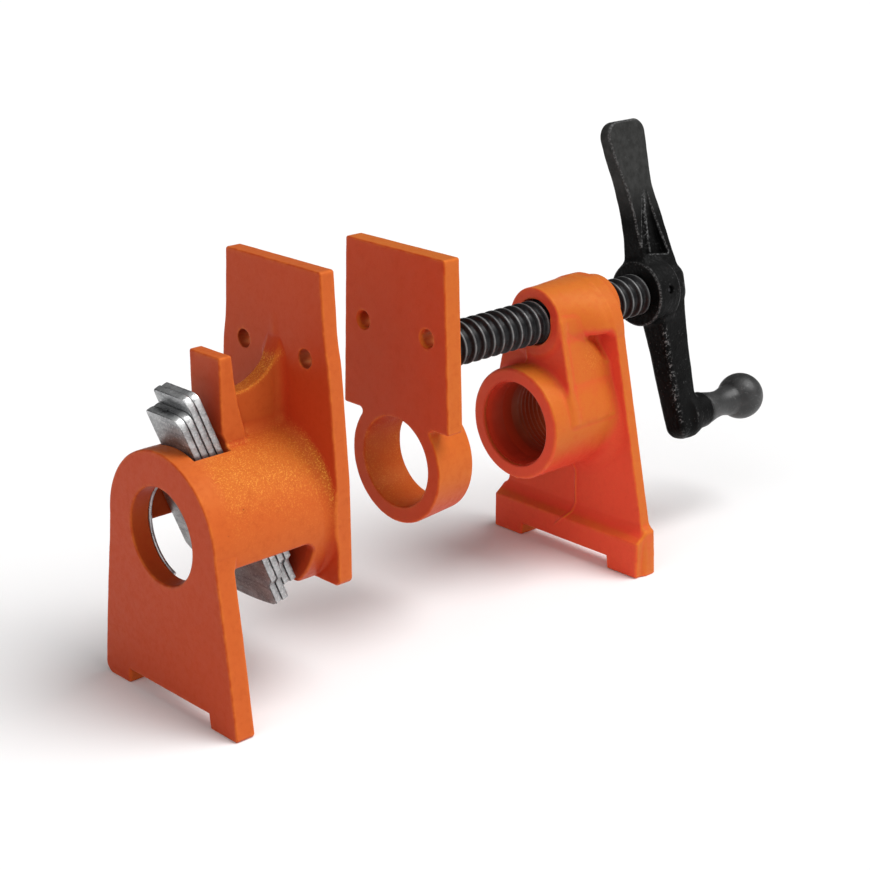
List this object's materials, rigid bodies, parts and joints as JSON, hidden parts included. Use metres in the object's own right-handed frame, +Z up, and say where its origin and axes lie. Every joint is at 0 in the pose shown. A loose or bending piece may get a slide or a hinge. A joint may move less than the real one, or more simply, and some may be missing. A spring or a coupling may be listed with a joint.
{
  "type": "pipe clamp",
  "caption": "Woodworking pipe clamp: a cranked screw drives a moving jaw against a tail jaw that slides along a pipe and grips it with leaning clutch plates.",
  "frame": {"origin": "on the pipe axis, at the mouth of the head's threaded pipe socket", "axes": "+X along the pipe axis toward the crank, +Y across the jaws, +Z up; both feet stand at z = -0.051"},
  "size_m": [0.2474, 0.0654, 0.1387],
  "materials": {
    "orange_casting": "thick orange enamel over sand-cast iron",
    "black_casting": "black gloss paint over rough casting",
    "black_knob": "satin black",
    "black_screw": "black oxide, worn on the crests",
    "clutch_steel": "sheared plate, zinc plated",
    "spring_wire": "drawn wire",
    "steel_pin": "ground pin"
  },
  "bodies": {
    "head": {"head_casting": "orange_casting"},
    "moving_jaw": {"jaw_casting": "orange_casting", "jaw_retaining_pin": "steel_pin"},
    "screw": {"clamp_screw": "black_screw", "crank_handle": "black_casting", "crank_pin": "steel_pin", "knob_rivet": "steel_pin"},
    "knob": {"crank_knob": "black_knob"},
    "tail_jaw": {"tail_casting": "orange_casting", "clutch_spring": "spring_wire"},
    "clutch_1": {"clutch_plate_1": "clutch_steel"},
    "clutch_2": {"clutch_plate_2": "clutch_steel"},
    "clutch_3": {"clutch_plate_3": "clutch_steel"},
    "clutch_4": {"clutch_plate_4": "clutch_steel"}
  },
  "joints": [
    {"name": "jaw_slide", "type": "slide", "parent": "head", "child": "moving_jaw", "axis": [1, 0, 0], "range_m": [-0.01755, 0.03505]},
    {"name": "screw_turn", "type": "hinge", "parent": "moving_jaw", "child": "screw", "pos_m": [0, 0, 0.032], "axis": [1, 0, 0], "range_deg": [-1575, 3150]},
    {"name": "knob_spin", "type": "hinge", "parent": "screw", "child": "knob", "pos_m": [0.1, -0.01077, -0.01118], "axis": [1, 0, 0], "continuous": true},
    {"name": "tail_slide", "type": "slide", "parent": "head", "child": "tail_jaw", "axis": [1, 0, 0], "range_m": [-0.4, 0.021]},
    {"name": "clutch_1_tilt", "type": "hinge", "parent": "tail_jaw", "child": "clutch_1", "pos_m": [-0.1307, 0, 0.0244], "axis": [0, 1, 0], "range_deg": [0, 16], "stiffness_Nm_per_rad": 0.3, "springref_deg": -20.05, "deforming": ["clutch_spring"]},
    {"name": "clutch_2_tilt", "type": "hinge", "parent": "tail_jaw", "child": "clutch_2", "pos_m": [-0.12823, 0, 0.0244], "axis": [0, 1, 0], "range_deg": [-0.05, 16.05]},
    {"name": "clutch_3_tilt", "type": "hinge", "parent": "tail_jaw", "child": "clutch_3", "pos_m": [-0.12576, 0, 0.0244], "axis": [0, 1, 0], "range_deg": [-0.05, 16.05]},
    {"name": "clutch_4_tilt", "type": "hinge", "parent": "tail_jaw", "child": "clutch_4", "pos_m": [-0.1233, 0, 0.0244], "axis": [0, 1, 0], "range_deg": [-0.05, 16.05]}
  ],
  "couplings": [
    {"joint": "jaw_slide", "follows": "screw_turn", "m_per_rad": 0.00063662},
    {"joint": "clutch_2_tilt", "follows": "clutch_1_tilt", "ratio": 1},
    {"joint": "clutch_3_tilt", "follows": "clutch_1_tilt", "ratio": 1},
    {"joint": "clutch_4_tilt", "follows": "clutch_1_tilt", "ratio": 1}
  ]
}
